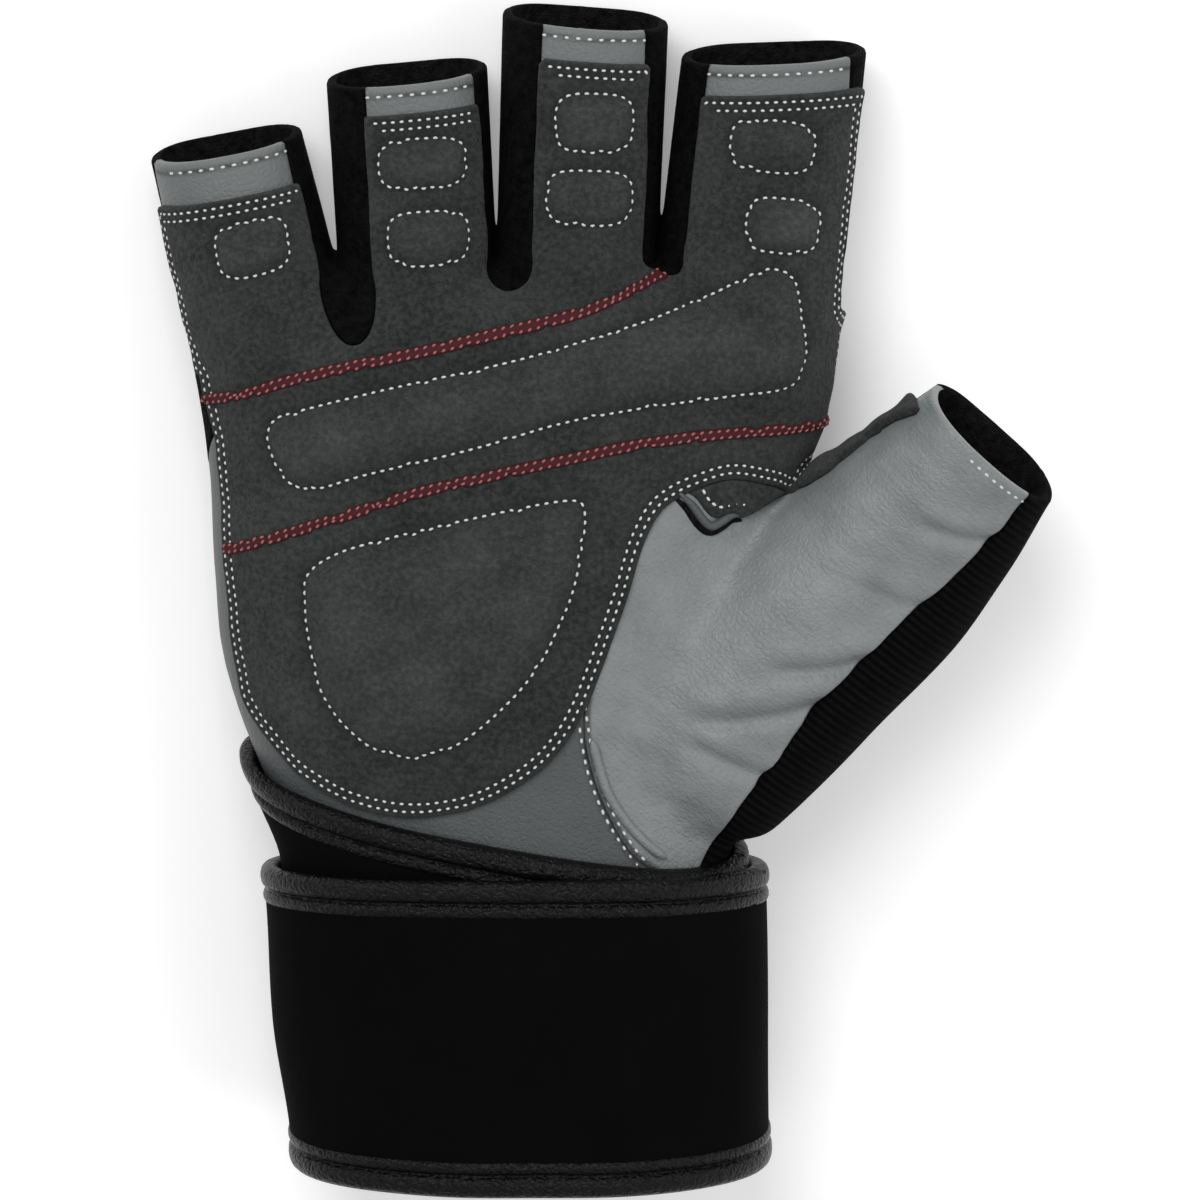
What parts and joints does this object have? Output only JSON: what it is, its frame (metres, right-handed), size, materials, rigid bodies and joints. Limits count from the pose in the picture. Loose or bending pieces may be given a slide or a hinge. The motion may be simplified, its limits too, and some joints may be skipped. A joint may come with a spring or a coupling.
{
  "type": "weightlifting glove",
  "caption": "Fingerless right-hand weightlifting glove with a padded suede palm, leather thumb and double-turn wrist wrap.",
  "frame": {"origin": "middle of the underside of the overall box, on the surface that the glove lies on", "axes": "+Z out of the palm, +Y from the wrist towards the fingers, +X towards the thumb"},
  "size_m": [0.1524, 0.1984, 0.05],
  "materials": {
    "suede": "dark grey-green suede with a mottled nap, matte",
    "leather": "mid-grey grained leather, soft sheen",
    "knit": "black stretch knit, matte",
    "neoprene": "black neoprene with a close-knit face, matte",
    "binding": "black woven edge binding with a slight sheen",
    "red_thread": "red sewing thread on a narrow red strip",
    "white_thread": "white sewing thread in single and double rows"
  },
  "bodies": {
    "root": {"suede_overlay": "suede", "thumb_web": "suede", "pad_little": "suede", "pad_ring_1": "suede", "pad_ring_2": "suede", "pad_middle_1": "suede", "pad_middle_2": "suede", "pad_index_1": "suede", "pad_index_2": "suede", "pad_knuckle": "suede", "pad_heel": "suede", "palm_leather": "leather", "thumb_leather": "leather", "thumb_piping": "leather", "back_panel": "knit", "fourchette_1": "knit", "fourchette_2": "knit", "fourchette_3": "knit", "thumb_knit": "knit", "wrap_inner": "neoprene", "wrap_outer": "neoprene", "wrap_tab": "neoprene", "wrap_inner_binding": "binding", "wrap_outer_binding_top": "binding", "wrap_outer_binding_bottom": "binding", "red_seam_upper": "red_thread", "red_seam_lower": "red_thread"}
  },
  "joints": []
}
